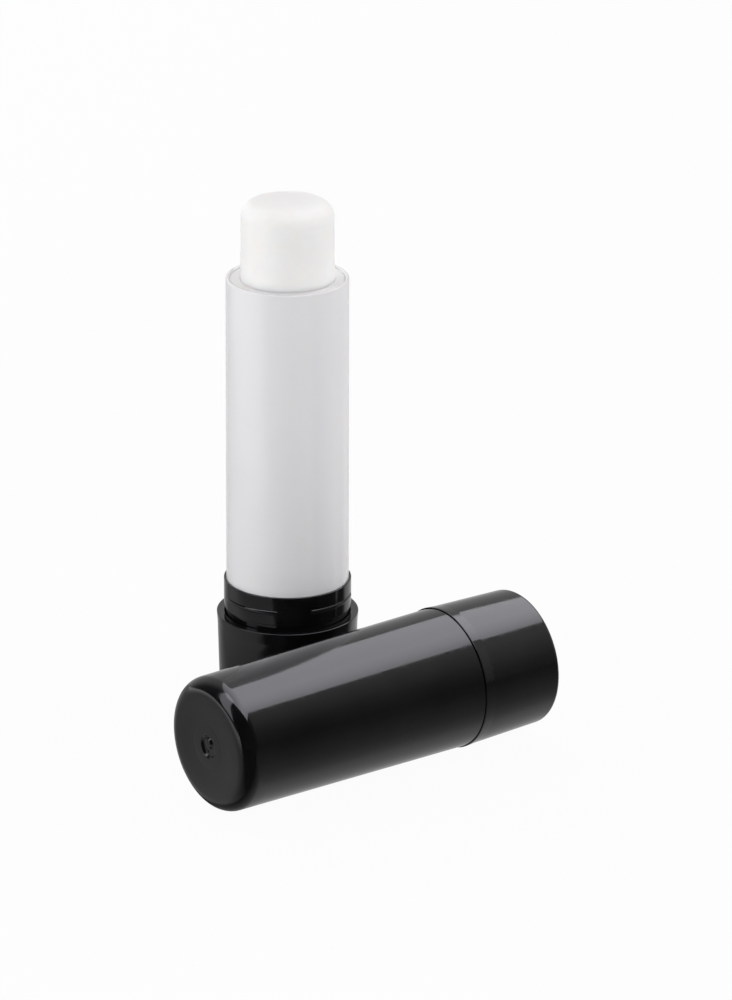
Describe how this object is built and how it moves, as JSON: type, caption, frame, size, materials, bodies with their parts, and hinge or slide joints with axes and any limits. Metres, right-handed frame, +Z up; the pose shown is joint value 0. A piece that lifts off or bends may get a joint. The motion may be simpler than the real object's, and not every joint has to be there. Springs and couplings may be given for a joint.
{
  "type": "lip balm stick",
  "caption": "Twist-up lip balm in a round tube with a black twist base and a push-on cap; an open stick stands beside a capped stick that lies.",
  "frame": {"origin": "centre of the standing stick's foot, on the surface it stands on", "axes": "+Z up along the standing stick, +X along the lying stick from its closed end to its twist base"},
  "size_m": [0.0528, 0.0469, 0.0731],
  "materials": {
    "black_gloss": "glossy black moulded plastic",
    "white_gloss": "glossy white moulded plastic",
    "natural_plastic": "natural translucent plastic",
    "balm": "soft translucent off-white wax"
  },
  "bodies": {
    "twist_bases": {"open_base": "black_gloss", "open_spindle": "natural_plastic", "closed_base": "black_gloss", "closed_spindle": "natural_plastic"},
    "open_tube": {"open_collar": "black_gloss", "open_barrel": "white_gloss", "open_sleeve": "natural_plastic"},
    "open_lift": {"open_carrier": "natural_plastic", "open_balm": "balm"},
    "closed_tube": {"closed_collar": "black_gloss", "closed_barrel": "white_gloss", "closed_sleeve": "natural_plastic"},
    "closed_lift": {"closed_carrier": "natural_plastic", "closed_balm": "balm"},
    "closed_cap": {"closed_cap": "black_gloss"}
  },
  "joints": [
    {"name": "open_twist", "type": "hinge", "parent": "twist_bases", "child": "open_tube", "pos_m": [0, 0, 0], "axis": [0, 0, 1], "range_deg": [-2654.9, 1178.9]},
    {"name": "open_rise", "type": "slide", "parent": "open_tube", "child": "open_lift", "axis": [0, 0, 1], "range_m": [-0.0131, 0.0295]},
    {"name": "closed_twist", "type": "hinge", "parent": "twist_bases", "child": "closed_tube", "pos_m": [0.0069, -0.0271, 0.00992], "axis": [-0.9999, 0, -0.0153], "range_deg": [-252, 0]},
    {"name": "closed_rise", "type": "slide", "parent": "closed_tube", "child": "closed_lift", "axis": [-0.9999, 0, -0.0153], "range_m": [0, 0.0028]},
    {"name": "cap_pull", "type": "slide", "parent": "closed_tube", "child": "closed_cap", "axis": [-0.9999, 0, -0.0153], "range_m": [0, 0.04]}
  ],
  "couplings": [
    {"joint": "open_rise", "follows": "open_twist", "m_per_rad": -0.00063662},
    {"joint": "closed_rise", "follows": "closed_twist", "m_per_rad": -0.00063662}
  ]
}
